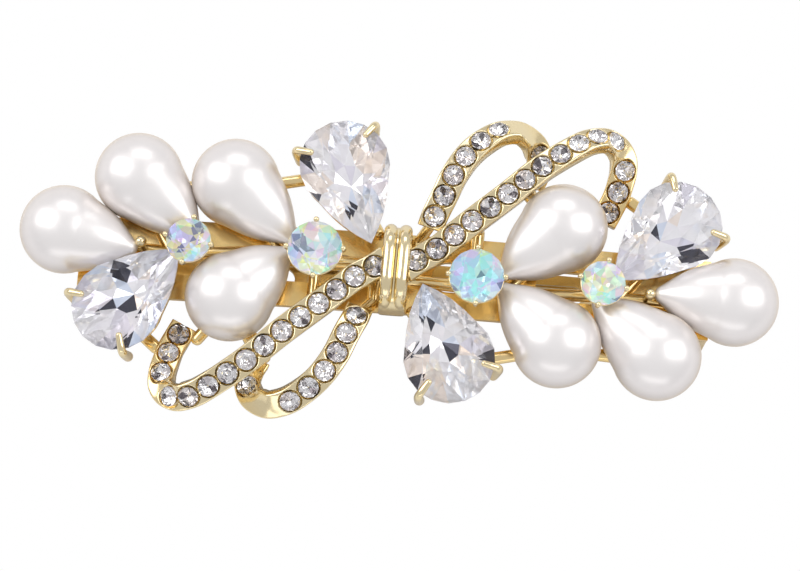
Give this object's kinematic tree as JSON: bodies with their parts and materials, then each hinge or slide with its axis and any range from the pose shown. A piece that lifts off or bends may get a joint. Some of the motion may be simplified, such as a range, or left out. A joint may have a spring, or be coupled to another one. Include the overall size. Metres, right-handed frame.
{
  "type": "barrette",
  "caption": "French-clip barrette with a pave ribbon bow, pearl drops, clear drops and round stones on an arched bar with a swing arm and latch.",
  "frame": {"origin": "under the middle of the barrette, at the level of the feet it rests on", "axes": "+X along the clip from its hinge to its latch, +Z from the clip towards the stones"},
  "size_m": [0.0842, 0.0364, 0.0174],
  "materials": {
    "gold_plate": "polished pale gold plate",
    "clip_metal": "polished gold-tone plate over spring steel",
    "pearl": "pearl lustre",
    "clear_crystal": "faceted, foiled back",
    "aurora_crystal": "faceted, rainbow coated",
    "pave_crystal": "faceted, foiled back"
  },
  "bodies": {
    "brooch": {"base_bar": "clip_metal", "hinge_pin": "clip_metal", "anchor_pin": "clip_metal", "latch_bracket": "clip_metal", "latch_rivets": "clip_metal", "spray_frame_right": "gold_plate", "spray_frame_left": "gold_plate", "knot_band": "gold_plate", "knot_wrap_right": "gold_plate", "knot_wrap_left": "gold_plate", "bow_ribbon_outer_right": "gold_plate", "bow_ribbon_outer_left": "gold_plate", "bow_ribbon_inner_right": "gold_plate", "bow_ribbon_inner_left": "gold_plate", "pave_outer_right": "pave_crystal", "pave_outer_left": "pave_crystal", "pave_inner_right": "pave_crystal", "pave_inner_left": "pave_crystal", "seed_bead_right": "gold_plate", "seed_bead_left": "gold_plate", "pearl_1": "pearl", "pearl_2": "pearl", "pearl_3": "pearl", "pearl_4": "pearl", "pearl_5": "pearl", "pearl_6": "pearl", "pearl_7": "pearl", "pearl_8": "pearl", "pearl_cup_1": "gold_plate", "pearl_cup_2": "gold_plate", "pearl_cup_3": "gold_plate", "pearl_cup_4": "gold_plate", "pearl_cup_5": "gold_plate", "pearl_cup_6": "gold_plate", "pearl_cup_7": "gold_plate", "pearl_cup_8": "gold_plate", "clear_drop_1": "clear_crystal", "clear_drop_2": "clear_crystal", "clear_drop_3": "clear_crystal", "clear_drop_4": "clear_crystal", "drop_setting_1": "gold_plate", "drop_setting_2": "gold_plate", "drop_setting_3": "gold_plate", "drop_setting_4": "gold_plate", "aurora_stone_1": "aurora_crystal", "aurora_stone_2": "aurora_crystal", "aurora_stone_3": "aurora_crystal", "aurora_stone_4": "aurora_crystal", "aurora_setting_1": "gold_plate", "aurora_setting_2": "gold_plate", "aurora_setting_3": "gold_plate", "aurora_setting_4": "gold_plate"},
    "arm": {"swing_arm": "clip_metal"},
    "spring": {"tension_bar": "clip_metal"},
    "wing_front": {"latch_wing_front": "clip_metal"},
    "wing_back": {"latch_wing_back": "clip_metal"}
  },
  "joints": [
    {"name": "arm_hinge", "type": "hinge", "parent": "brooch", "child": "arm", "pos_m": [-0.0325, 0, 0.00164], "axis": [0, 1, 0], "range_deg": [0, 60]},
    {"name": "spring_flex", "type": "hinge", "parent": "brooch", "child": "spring", "pos_m": [-0.0295, 0, 0.0056], "axis": [0, -1, 0], "range_deg": [0, 1.8], "stiffness_Nm_per_rad": 0.05},
    {"name": "latch_front", "type": "hinge", "parent": "brooch", "child": "wing_front", "pos_m": [0.0315, -0.00175, 0.00625], "axis": [1, 0, 0], "range_deg": [0, 8], "stiffness_Nm_per_rad": 0.002},
    {"name": "latch_back", "type": "hinge", "parent": "brooch", "child": "wing_back", "pos_m": [0.0315, 0.00175, 0.00625], "axis": [-1, 0, 0], "range_deg": [0, 8], "stiffness_Nm_per_rad": 0.002}
  ],
  "couplings": [
    {"joint": "latch_back", "follows": "latch_front", "ratio": 1}
  ]
}
